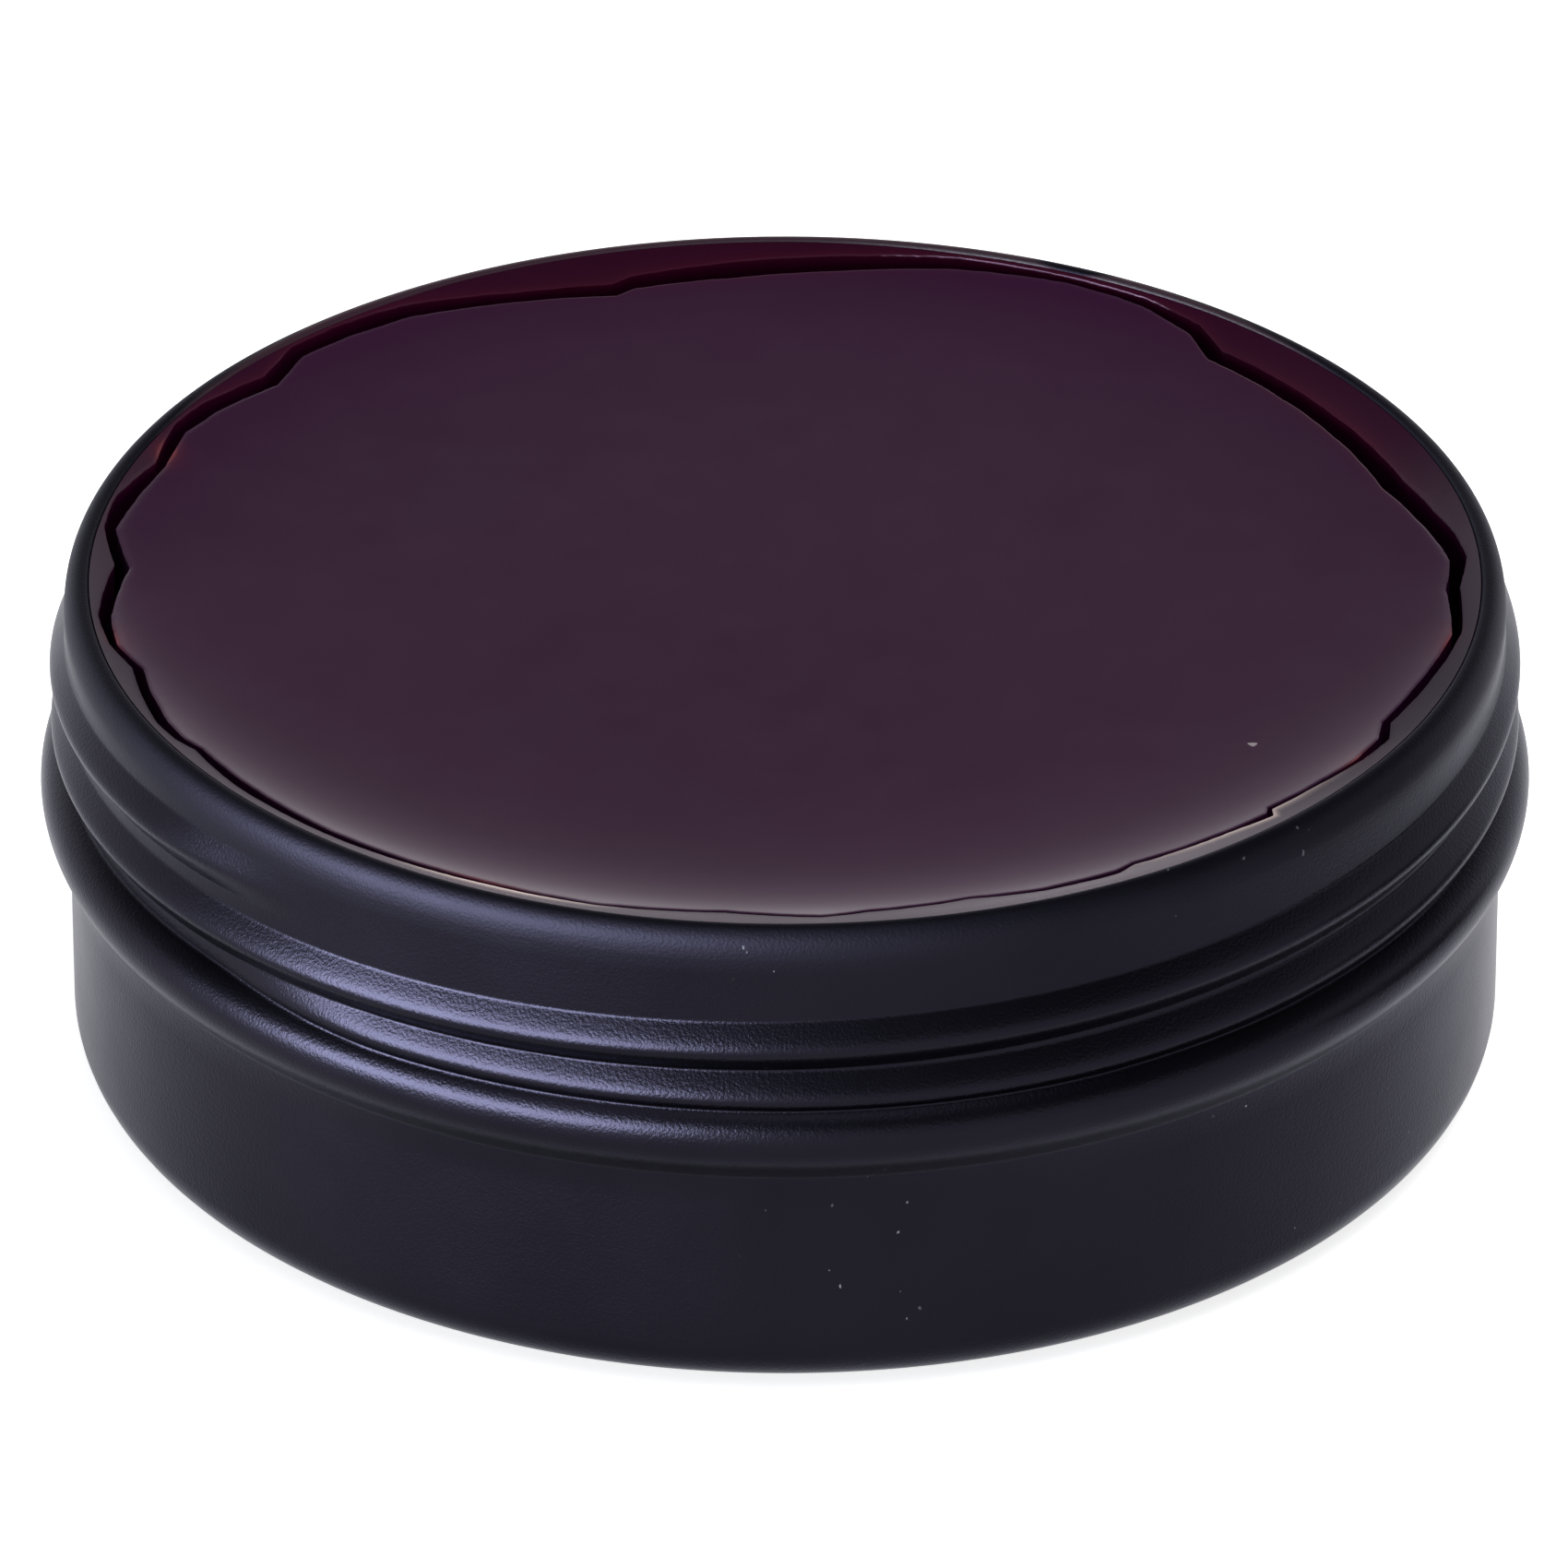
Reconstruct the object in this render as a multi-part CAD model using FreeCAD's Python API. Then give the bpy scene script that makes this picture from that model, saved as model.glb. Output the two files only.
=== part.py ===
import FreeCAD, Part
import math
import os

# Screw-top tin of wax polish, standing open on a table with its lid laid upside down beside it.
# Millimetres and degrees. Origin: centre of the tin's base, on the table. +Z is up, and the front is -Y.
# Angles run from the front towards +X, so a right-hand thread climbs as the angle grows.

# The sheet and the tin's main sizes
sheet = 0.4
tin_height = 26.0
wall_radius = 36.1
base_corner = 2.5

# Hem at the rim: the sheet is folded in and down
hem_width = 1.25
hem_depth = 1.3
hem_round = 0.9
hem_lip_round = 0.3

# Stop bead: how far it stands out, its places measured down from the rim, and how full its curves are
bead_height = 1.4
bead_top_drop = 9.35
bead_crest_drop = 11.2
bead_foot_drop = 13.65
bead_top_fullness = 0.65
bead_foot_fullness = 0.8

# Pressed ring in the base, placed from the wall
base_ring_inset = 5.1
base_ring_width = 4.0
base_ring_rise = 0.5

# Rolled thread. Its ridges fade out under the rim and end in the bead, sunk below the bead's top.
thread_starts = 2
thread_lead = 5.9
thread_height = 0.8
thread_width = 2.7
thread_end_drop = 3.9
thread_end_angle = -38.0
thread_sink = 0.7
thread_fade = 30.0
thread_step = 15.0
thread_root = 0.2

# Polish
polish_drop = 0.55
polish_gap = 0.03

# Crack between cake and crust: angle, crust width left inside the hem, and width of the crack.
crack = [
    (3, 1.3, 0.15), (16, 2.1, 0.15), (22, 1.5, 0.25), (29, 1.4, 0.3), (31, 1.9, 0.2), (40, 1.6, 0.2),
    (45, 1.2, 0.35), (46, 1.8, 0.25), (57, 1.05, 0.3), (61, 0.9, 0.45), (64, 1.65, 0.4), (72, 1.2, 0.4),
    (80, 0.65, 0.4), (88, 1.05, 0.55), (93, 0.55, 0.65), (102, 1.35, 0.65), (108, 1.95, 0.75),
    (121, 2.05, 0.6), (137, 1.95, 0.6), (141, 0.85, 0.55), (150, 0.25, 0.4), (165, 0.25, 0.6),
    (175, 0.7, 0.9), (185, 1.2, 1.0), (196, 2.15, 0.85), (205, 1.45, 0.6), (215, 0.3, 0.7),
    (227, 0.2, 0.6), (232, 0.9, 0.7), (244, 0.2, 0.6), (250, 0.8, 0.45), (257, 0.25, 0.7),
    (262, 0.25, 0.5), (268, 1.15, 0.6), (277, 0.35, 0.5), (286, 1.2, 0.4), (296, 0.45, 0.5),
    (301, 1.05, 0.35), (308, 0.7, 0.5), (319, 0.75, 0.4), (335, 1.2, 0.25), (355, 1.85, 0.15),
]

# Lid, and the room between it and the tin
liner_thickness = 1.0
liner_gap = 0.05
thread_clearance = 0.25
lid_thread_height = 0.75
lid_thread_width = 1.6
lid_thread_foot = 1.1
lid_thread_lead_in = 100.0
lid_foot_gap = 0.25
lid_corner = 1.2
lid_panel_inset = 7.55
lid_panel_rise = 0.4
lid_gap = 36.0

bead_radius = wall_radius + bead_height
base_ring_outer = wall_radius - base_ring_inset
base_ring_inner = base_ring_outer - base_ring_width
thread_pitch = thread_lead / thread_starts
thread_turn = 360 * (bead_top_drop + thread_sink - thread_end_drop) / thread_lead
lid_inner = wall_radius + thread_height + thread_clearance
lid_outer = lid_inner + sheet
lid_foot_drop = bead_top_drop - lid_foot_gap
lid_panel_radius = lid_outer - lid_panel_inset
lid_thread_top_drop = thread_end_drop + thread_pitch / 2 - thread_lead * lid_thread_lead_in / 360
lid_thread_turn = 360 * (lid_foot_drop - lid_thread_foot - lid_thread_top_drop) / thread_lead
liner_radius = lid_outer - lid_corner - liner_gap
lid_centre_x = bead_radius + lid_gap + lid_outer


def point(radius, z, angle=90.0):
    """A point at a distance from the Z axis, in the half plane at an angle from the front."""
    turn = math.radians(angle)
    return FreeCAD.Vector(radius * math.sin(turn), -radius * math.cos(turn), z)


def outline(*steps):
    """Edges through the steps in order. A step of one point ends a line, two an arc, three a Bezier curve."""
    edges = []
    here = steps[0][0]
    for step in steps[1:]:
        if len(step) == 1:
            edges.append(Part.makeLine(here, step[0]))
        elif len(step) == 2:
            edges.append(Part.Arc(here, step[0], step[1]).toShape())
        else:
            curve = Part.BezierCurve()
            curve.setPoles([here] + list(step))
            edges.append(curve.toShape())
        here = step[-1]
    edges.append(Part.makeLine(here, steps[0][0]))
    return Part.Wire(edges)


def turned(*steps):
    """The solid of revolution of a closed half section."""
    face = Part.Face(outline(*steps))
    return face.revolve(FreeCAD.Vector(0, 0, 0), FreeCAD.Vector(0, 0, 1), 360)


def corner(centre_radius, centre_z, radius, start, end):
    """Middle and end point of an arc in the half section, with its angles from +radius towards +Z."""
    spots = []
    for turn in ((start + end) / 2, end):
        spots.append(point(centre_radius + radius * math.cos(math.radians(turn)),
                           centre_z + radius * math.sin(math.radians(turn))))
    return spots


def bead_curves(inset):
    """Bezier poles up the bead: from its foot to the crest, and from the crest to its top."""
    wall = wall_radius - inset
    crest = bead_radius - inset
    foot_z = tin_height - bead_foot_drop + inset
    crest_z = tin_height - bead_crest_drop
    top_z = tin_height - bead_top_drop - inset
    rise = crest_z - foot_z
    fall = top_z - crest_z
    haunch = point(wall + bead_foot_fullness * bead_height, foot_z + 0.05 * rise)
    shoulder = point(wall + bead_top_fullness * bead_height, top_z - 0.2 * fall)
    up = [haunch, point(crest, crest_z - 0.5 * rise), point(crest, crest_z)]
    over = [point(crest, crest_z + 0.45 * fall), shoulder, point(wall, top_z)]
    return foot_z, up, over


def base_steps(inset):
    """The base from the axis out to the wall's corner, with its pressed ring."""
    rise = base_ring_rise
    corner_radius = base_corner - inset
    return [
        [point(0, inset)],
        [point(base_ring_inner, inset)],
        [point(base_ring_inner + rise, inset + rise)],
        [point(base_ring_outer - rise, inset + rise)],
        [point(base_ring_outer, inset)],
        [point(wall_radius - base_corner, inset)],
        corner(wall_radius - base_corner, base_corner, corner_radius, -90, 0),
    ]


def tin_outside():
    """Everything within the tin's outer surface, without the thread."""
    foot_z, up, over = bead_curves(0)
    lip = wall_radius - hem_width
    top = tin_height
    steps = base_steps(0) + [
        [point(wall_radius, foot_z)], up, over,
        [point(wall_radius, top - hem_round)],
        corner(wall_radius - hem_round, top - hem_round, hem_round, 0, 90),
        [point(lip + hem_lip_round, top)],
        corner(lip + hem_lip_round, top - hem_lip_round, hem_lip_round, 90, 180),
        [point(lip, top - hem_depth)], [point(0, top - hem_depth)],
    ]
    return turned(*steps)


def tin_inside(gap, top):
    """The hollow within the sheet up to a height. A gap draws in the wall, for what fills the hollow."""
    inset = sheet + gap
    wall = wall_radius - inset
    foot_z, up, over = bead_curves(inset)
    steps = base_steps(sheet)[:-2] + [
        [point(wall_radius - base_corner - gap, sheet)],
        corner(wall_radius - base_corner - gap, base_corner, base_corner - sheet, -90, 0),
        [point(wall, foot_z)], up, over,
        [point(wall, top)], [point(0, top)],
    ]
    return turned(*steps)


def hem_slot():
    """The slot left between the wall and the folded lip of the hem."""
    lip_back = wall_radius - hem_width + sheet
    wall = wall_radius - sheet
    low = tin_height - hem_depth - sheet
    high = tin_height - sheet
    return turned([point(lip_back, low)], [point(wall, low)], [point(wall, high)], [point(lip_back, high)])


def thread_ridge(radius, height, width, length, end_z, end_angle):
    """One rolled ridge, a length in degrees, with faded ends. A negative height points inwards."""
    root = math.copysign(thread_root, height)
    count = math.ceil(length / thread_step)
    sections = []
    for index in range(count + 1):
        below = length * (count - index) / count
        fade = min(1.0, below / thread_fade, (length - below) / thread_fade)
        swell = 0.5 - 0.5 * math.cos(math.pi * fade)
        crest = radius - root / 2 + (height + root / 2) * swell
        z = end_z - thread_lead * below / 360
        angle = end_angle - below
        low = point(radius - root, z - width / 2, angle)
        high = point(radius - root, z + width / 2, angle)
        arc = Part.Arc(low, point(crest, z, angle), high).toShape()
        sections.append(Part.Wire([arc, Part.makeLine(high, low)]))
    return Part.makeLoft(sections, True, False)


def thread(radius, height, width, length, end_z, end_angle):
    """All starts of a thread, evenly turned about the axis."""
    ridges = []
    for start in range(thread_starts):
        angle = end_angle + 360 * start / thread_starts
        ridges.append(thread_ridge(radius, height, width, length, end_z, angle))
    return ridges


def can_body():
    run = (thread_turn, tin_height - thread_end_drop, thread_end_angle)
    ridges = thread(wall_radius, thread_height, thread_width, *run)
    grooves = thread(wall_radius - sheet, thread_height, thread_width - sheet, *run)
    hollow = tin_inside(0, tin_height - hem_depth).fuse(grooves + [hem_slot()])
    return tin_outside().fuse(ridges).cut(hollow)


def polish_block():
    """The whole filling: up under the hem, and up to its surface inside the lip."""
    below = tin_inside(polish_gap, tin_height - hem_depth - polish_gap)
    lip = wall_radius - hem_width - polish_gap
    middle = Part.makeCylinder(lip, tin_height - polish_drop - base_corner, FreeCAD.Vector(0, 0, base_corner))
    return below.fuse(middle).removeSplitter()


def crack_prism(crack_share):
    """A prism to one side of the crack: share 0 is the crust's edge and share 1 is the cake's edge."""
    lip = wall_radius - hem_width
    corners = []
    for angle, crust_width, crack_width in crack:
        corners.append(point(lip - crust_width - crack_share * crack_width, 0, angle))
    face = Part.Face(Part.makePolygon(corners + corners[:1]))
    return face.extrude(FreeCAD.Vector(0, 0, tin_height))


def lid_closed_shell():
    """The lid as it sits on the tin, with its thread between the tin's ridges."""
    inner_top = tin_height + liner_thickness
    outer_top = inner_top + sheet
    foot = tin_height - lid_foot_drop
    panel_top = outer_top + lid_panel_rise
    slope = lid_panel_rise
    outside = turned(
        [point(0, foot)], [point(lid_outer, foot)], [point(lid_outer, outer_top - lid_corner)],
        corner(lid_outer - lid_corner, outer_top - lid_corner, lid_corner, 0, 90),
        [point(lid_panel_radius + slope, outer_top)], [point(lid_panel_radius, panel_top)],
        [point(0, panel_top)])
    inside = turned(
        [point(0, foot)], [point(lid_inner, foot)], [point(lid_inner, outer_top - lid_corner)],
        corner(lid_outer - lid_corner, outer_top - lid_corner, lid_corner - sheet, 0, 90),
        [point(lid_panel_radius + slope, inner_top)], [point(lid_panel_radius, panel_top - sheet)],
        [point(0, panel_top - sheet)])
    run = (lid_thread_turn, tin_height - lid_thread_top_drop, thread_end_angle + lid_thread_lead_in)
    grooves = thread(lid_outer, -lid_thread_height, lid_thread_width - sheet, *run)
    ridges = thread(lid_inner, -lid_thread_height, lid_thread_width, *run)
    return outside.cut(grooves).cut(inside.cut(ridges))


def lid_closed_liner():
    return Part.makeCylinder(liner_radius, liner_thickness, FreeCAD.Vector(0, 0, tin_height))


def on_table(shape):
    """From closed on the tin to upside down beside it, resting on the lid's raised panel."""
    laid = shape.copy()
    laid.rotate(FreeCAD.Vector(0, 0, 0), FreeCAD.Vector(0, 1, 0), 180)
    laid.translate(FreeCAD.Vector(lid_centre_x, 0, tin_height + liner_thickness + sheet + lid_panel_rise))
    return laid


def main():
    os.makedirs("parts", exist_ok=True)
    filling = polish_block()
    nodes = {
        "can_body": can_body(),
        "polish_cake": filling.common(crack_prism(1)),
        "polish_crust": filling.cut(crack_prism(0)),
        "lid_shell": on_table(lid_closed_shell()),
        "lid_liner": on_table(lid_closed_liner()),
    }
    for name, shape in nodes.items():
        print(name, "solids", len(shape.Solids), "valid", shape.isValid(), "volume", round(shape.Volume, 1))
        shape.exportStep("parts/" + name + ".step")


main()
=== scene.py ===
import bpy
import bmesh
import math
from mathutils import Matrix, Vector, noise


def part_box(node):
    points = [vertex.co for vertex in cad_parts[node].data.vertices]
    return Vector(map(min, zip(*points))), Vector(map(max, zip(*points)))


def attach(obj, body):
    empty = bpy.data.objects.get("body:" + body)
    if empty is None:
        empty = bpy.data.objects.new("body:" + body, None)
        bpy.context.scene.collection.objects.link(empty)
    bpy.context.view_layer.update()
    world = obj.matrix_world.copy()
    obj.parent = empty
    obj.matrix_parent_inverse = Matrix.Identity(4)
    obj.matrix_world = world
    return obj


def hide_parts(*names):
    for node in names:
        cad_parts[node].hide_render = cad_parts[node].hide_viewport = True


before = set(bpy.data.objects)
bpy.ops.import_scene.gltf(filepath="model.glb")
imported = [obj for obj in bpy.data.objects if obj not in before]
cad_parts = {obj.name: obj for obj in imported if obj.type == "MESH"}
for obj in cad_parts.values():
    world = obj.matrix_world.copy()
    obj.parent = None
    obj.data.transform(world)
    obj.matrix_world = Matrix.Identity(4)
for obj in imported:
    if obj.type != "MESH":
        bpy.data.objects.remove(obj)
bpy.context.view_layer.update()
mm = 0.001
tinLow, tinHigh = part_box("can_body")
lidLow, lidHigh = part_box("lid_shell")
tinTop = tinHigh[2]
lidCentreX = (lidLow[0] + lidHigh[0]) / 2
print("frame loaded, tin top at", round(tinTop, 4))


camera = {  # degrees and mm
    "elevation": 30.05, "distance": 738.7, "drop": 10.86, "lens": 338.8, "side": -0.05, "sensor": 36.0,
}


def placeCamera():
    turn = math.radians(camera["elevation"])
    forward = Vector((0, math.cos(turn), -math.sin(turn)))
    up = Vector((0, math.sin(turn), math.cos(turn)))
    rim = Vector((camera["side"] * mm, 0, tinTop))
    eye = rim - forward * camera["distance"] * mm - up * camera["drop"] * mm
    data = bpy.data.cameras.new("camera")
    data.lens = camera["lens"]
    data.sensor_width = camera["sensor"]
    data.clip_start = 0.01
    data.clip_end = 20
    data.dof.use_dof = False
    holder = bpy.data.objects.new("camera", data)
    bpy.context.collection.objects.link(holder)
    holder.location = eye
    holder.rotation_euler = forward.to_track_quat("-Z", "Y").to_euler()
    bpy.context.scene.camera = holder


lights = [  # place and sizes in metres; along is the direction of the width
    {"name": "keySoftbox", "place": (-0.65, -0.60, 0.22), "along": (0.69, -0.73, 0.0), "width": 0.95,
     "height": 0.42, "watts": 54.0, "colour": (0.81, 0.90, 1.0), "diffuse": False, "gloss": True},
    {"name": "frontSoftbox", "place": (-0.10, -0.40, 0.90), "along": (1.0, 0.0, 0.0), "width": 0.9,
     "height": 0.4, "watts": 1.6, "colour": (0.93, 0.94, 1.0), "diffuse": True, "gloss": True},
    {"name": "skyFill", "place": (0.30, 0.10, 1.20), "along": (1.0, 0.0, 0.0), "width": 1.0,
     "height": 1.0, "watts": 8.0, "colour": (1.0, 0.99, 0.98), "diffuse": True, "gloss": False},
]
skyGlow = [  # sine of the height above the horizon, and how bright the backdrop is there
    (0.0, 1.0), (0.1, 1.3), (0.2, 1.4), (0.38, 0.62), (0.45, 0.31), (0.5, 0.175), (0.7, 0.18), (1.0, 0.18),
]


def addLights():
    for light in lights:
        data = bpy.data.lights.new(light["name"], "AREA")
        data.shape = "RECTANGLE"
        data.size = light["width"]
        data.size_y = light["height"]
        data.energy = light["watts"]
        data.color = light["colour"]
        lamp = bpy.data.objects.new(light["name"], data)
        bpy.context.collection.objects.link(lamp)
        lamp.visible_camera = False
        lamp.visible_diffuse = light["diffuse"]
        lamp.visible_glossy = light["gloss"]
        back = Vector(light["place"]).normalized()
        across = Vector(light["along"])
        across = (across - back * across.dot(back)).normalized()
        facing = Matrix((across, back.cross(across), back)).transposed().to_4x4()
        lamp.matrix_world = Matrix.Translation(light["place"]) @ facing
    world = bpy.data.worlds.new("studio")
    world.use_nodes = True
    tree = world.node_tree
    direction = tree.nodes.new("ShaderNodeTexCoord").outputs["Generated"]
    heading = addNode(tree, "ShaderNodeSeparateXYZ", None, i0=direction)
    stops = [(height, (value, value, value)) for height, value in skyGlow]
    glow = ramp(tree, heading.outputs["Z"], stops)
    tree.links.new(glow, tree.nodes["Background"].inputs["Color"])
    tree.nodes["Background"].inputs["Strength"].default_value = 1.0
    bpy.context.scene.world = world


def addNode(tree, kind, settings=None, **values):
    node = tree.nodes.new(kind)
    for name, value in (settings or {}).items():
        setattr(node, name, value)
    for name, value in values.items():
        byPlace = name[0] == "i" and name[1:].isdigit()  # i0 stands for the first socket
        socket = node.inputs[int(name[1:])] if byPlace else node.inputs[name]
        if isinstance(value, bpy.types.NodeSocket):
            tree.links.new(value, socket)
        else:
            socket.default_value = value
    return node


def sumNode(tree, operation, a, b=0.0, c=0.0):
    node = tree.nodes.new("ShaderNodeMath")
    node.operation = operation
    for socket, value in zip(node.inputs, (a, b, c)):
        if isinstance(value, bpy.types.NodeSocket):
            tree.links.new(value, socket)
        else:
            socket.default_value = value
    return node.outputs[0]


def newMaterial(name):
    material = bpy.data.materials.new(name)
    material.use_nodes = True
    tree = material.node_tree
    return material, tree, tree.nodes["Principled BSDF"]


def noiseField(tree, coordinates, scale, detail=2.0, roughness=0.5):
    node = addNode(tree, "ShaderNodeTexNoise")
    tree.links.new(coordinates, node.inputs["Vector"])
    node.inputs["Scale"].default_value = scale
    node.inputs["Detail"].default_value = detail
    node.inputs["Roughness"].default_value = roughness
    return node.outputs["Fac"]


def ramp(tree, factor, stops):
    node = tree.nodes.new("ShaderNodeValToRGB")
    tree.links.new(factor, node.inputs["Fac"])
    elements = node.color_ramp.elements
    while len(elements) < len(stops):
        elements.new(0.5)
    for element, (place, colour) in zip(elements, stops):
        element.position = place
        element.color = (*colour, 1.0)
    return node.outputs["Color"]


def bumpChain(tree, layers):  # layers of height field and depth in metres
    normal = None
    for height, depth in layers:
        node = tree.nodes.new("ShaderNodeBump")
        node.inputs["Strength"].default_value = 1.0
        node.inputs["Distance"].default_value = depth
        tree.links.new(height, node.inputs["Height"])
        if normal is not None:
            tree.links.new(normal, node.inputs["Normal"])
        normal = node.outputs["Normal"]
    return normal


def attributeField(tree, name):
    return addNode(tree, "ShaderNodeAttribute", {"attribute_name": name}).outputs["Fac"]


def mixColour(tree, share, first, second):
    node = addNode(tree, "ShaderNodeMix", {"data_type": "RGBA"})
    for socket, value in ((node.inputs[0], share), (node.inputs[6], first), (node.inputs[7], second)):
        if isinstance(value, bpy.types.NodeSocket):
            tree.links.new(value, socket)
        else:
            socket.default_value = (*value, 1.0)
    return node.outputs[2]


def aboveField(tree, field, low, high):  # 0 below the low value, 1 above the high one
    node = addNode(tree, "ShaderNodeMapRange", {"interpolation_type": "SMOOTHSTEP"})
    tree.links.new(field, node.inputs["Value"])
    node.inputs["From Min"].default_value = low
    node.inputs["From Max"].default_value = high
    return node.outputs["Result"]


scuffs = {  # noise scales per metre, and the bands of noise that count as a nick or a worn place
    "turn": (0.3, 0.5, 0.2), "stretch": (1.0, 0.45, 0.7), "scale": 2300, "band": (0.76, 0.80),
    "whereScale": 95, "whereBand": (0.56, 0.64),
}


def scuffField(tree, place):  # sparse pale nicks, a few tenths of a millimetre long
    k = scuffs
    stretched = addNode(tree, "ShaderNodeMapping", None, Vector=place, Rotation=k["turn"],
                        Scale=k["stretch"])
    nicks = aboveField(tree, noiseField(tree, stretched.outputs[0], k["scale"], 1), *k["band"])
    where = aboveField(tree, noiseField(tree, place, k["whereScale"], 2), *k["whereBand"])
    return sumNode(tree, "MULTIPLY", nicks, where)


coating = {  # satin stove enamel on the sheet; scales per metre, bump depths in metres
    "dark": (0.0086, 0.0078, 0.0120), "light": (0.0112, 0.0103, 0.0155), "nick": (0.16, 0.16, 0.19),
    "film": (0.022, 0.0006, 0.009), "edgeTint": (0.75, 0.75, 0.80, 1.0), "roughness": 0.30,
    "roughnessSpread": 0.12, "rimMatte": 0.22, "broad": 60, "smear": 140, "grain": 6500,
    "grainDepth": 0.00002, "smearDepth": 0.000006, "nickDepth": 0.00001,
}


def coatedMetal(name):
    c = coating
    material, tree, shader = newMaterial(name)
    place = tree.nodes.new("ShaderNodeTexCoord").outputs["Object"]
    broad = noiseField(tree, place, c["broad"], 3)
    smear = noiseField(tree, place, c["smear"], 4, 0.6)
    grain = noiseField(tree, place, c["grain"], 2)
    nicks = scuffField(tree, place)
    film = attributeField(tree, "film")
    plain = ramp(tree, broad, [(0.3, c["dark"]), (0.7, c["light"])])
    worn = mixColour(tree, nicks, plain, c["nick"])
    tree.links.new(mixColour(tree, film, worn, c["film"]), shader.inputs["Base Color"])
    tree.links.new(sumNode(tree, "SUBTRACT", 1.0, film), shader.inputs["Metallic"])
    shader.inputs["Specular Tint"].default_value = c["edgeTint"]
    spread = c["roughnessSpread"]
    satin = sumNode(tree, "MULTIPLY_ADD", smear, spread, c["roughness"] - spread / 2)
    dulled = sumNode(tree, "MULTIPLY_ADD", attributeField(tree, "matte"), c["rimMatte"], satin)
    tree.links.new(dulled, shader.inputs["Roughness"])
    layers = [(grain, c["grainDepth"]), (smear, c["smearDepth"]), (nicks, c["nickDepth"])]
    tree.links.new(bumpChain(tree, layers), shader.inputs["Normal"])
    return material


waxLook = {  # deep burgundy wax: body, a painted red glow of light through a narrow edge, painted glints, painted shade at the back, and a dusty bloom on the crust
    "deep": (0.0215, 0.0008, 0.0190), "rich": (0.0260, 0.0009, 0.0222), "paintedGlowRed": (0.070, 0.0040, 0.013),
    "paintedGlow": (0.15, 0.022, 0.028), "paintedGlint": (0.85, 0.68, 0.62), "paintedBackShade": (0.0210, 0.0006, 0.0100),
    "bloom": (0.032, 0.025, 0.035), "speck": (0.30, 0.26, 0.28), "sheenTint": (1.0, 0.70, 1.0, 1.0),
    "ior": 1.46, "cloud": 45, "swell": 90, "smear": 380, "dust": 900, "dustBand": (0.85, 0.875),
    "roughness": 0.10, "smearRoughness": 0.08, "dustRoughness": 0.4, "brinkRoughness": 0.3,
    "swellDepth": 0.00001, "smearDepth": 0.000001, "dustDepth": 0.00002,
}


def waxPolish(name):
    c = waxLook
    material, tree, shader = newMaterial(name)
    place = tree.nodes.new("ShaderNodeTexCoord").outputs["Object"]
    cloud = noiseField(tree, place, c["cloud"], 3)
    dust = aboveField(tree, noiseField(tree, place, c["dust"], 1), *c["dustBand"])
    swell = noiseField(tree, place, c["swell"], 1)
    smear = noiseField(tree, place, c["smear"], 3)
    plain = ramp(tree, cloud, [(0.3, c["deep"]), (0.7, c["rich"])])
    # painted shade: the crust darker and redder at the back
    paintedBackShade = attributeField(tree, "paintedBackShade")
    body = mixColour(tree, paintedBackShade, plain, c["paintedBackShade"])
    # painted glow: a red glow of light coming through a narrow edge of the wax, painted into the base
    # colour
    glow = attributeField(tree, "paintedGlow")
    withPaintedGlow = mixColour(tree, glow, body, c["paintedGlowRed"])
    lit = mixColour(tree, aboveField(tree, glow, 0.5, 1.0), withPaintedGlow, c["paintedGlow"])
    bloom = attributeField(tree, "bloom")
    dulled = mixColour(tree, bloom, lit, c["bloom"])
    # painted glint: a bright sliver of light along the broken edge, painted into the base colour
    withPaintedGlint = mixColour(tree, attributeField(tree, "paintedGlint"), dulled, c["paintedGlint"])
    tree.links.new(mixColour(tree, dust, withPaintedGlint, c["speck"]), shader.inputs["Base Color"])
    clean = sumNode(tree, "MULTIPLY_ADD", smear, c["smearRoughness"], c["roughness"])
    dusty = sumNode(tree, "MULTIPLY_ADD", bloom, c["dustRoughness"], clean)
    broken = sumNode(tree, "MULTIPLY_ADD", attributeField(tree, "brink"), c["brinkRoughness"], dusty)
    tree.links.new(broken, shader.inputs["Roughness"])
    gloss = sumNode(tree, "MULTIPLY", sumNode(tree, "MULTIPLY_ADD", bloom, -0.5, 0.5),
                    sumNode(tree, "MULTIPLY_ADD", paintedBackShade, -0.6, 1.0))
    tree.links.new(gloss, shader.inputs["Specular IOR Level"])
    shader.inputs["IOR"].default_value = c["ior"]
    shader.inputs["Specular Tint"].default_value = c["sheenTint"]
    layers = [(swell, c["swellDepth"]), (smear, c["smearDepth"]), (dust, c["dustDepth"])]
    tree.links.new(bumpChain(tree, layers), shader.inputs["Normal"])
    return material


def linerFoam(name):
    material, tree, shader = newMaterial(name)
    place = tree.nodes.new("ShaderNodeTexCoord").outputs["Object"]
    cells = noiseField(tree, place, 3000, 2)
    cloud = noiseField(tree, place, 60, 3)
    foam = ramp(tree, cells, [(0.3, (0.66, 0.65, 0.62)), (0.7, (0.80, 0.79, 0.76))])
    aged = mixColour(tree, aboveField(tree, cloud, 0.4, 0.9), foam, (0.72, 0.68, 0.60))
    stain = sumNode(tree, "MULTIPLY", attributeField(tree, "stain"), aboveField(tree, cloud, 0.35, 0.65))
    tree.links.new(mixColour(tree, stain, aged, (0.22, 0.05, 0.12)), shader.inputs["Base Color"])
    tree.links.new(sumNode(tree, "MULTIPLY_ADD", cells, 0.2, 0.6), shader.inputs["Roughness"])
    tree.links.new(bumpChain(tree, [(cells, 0.00003)]), shader.inputs["Normal"])
    return material


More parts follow.
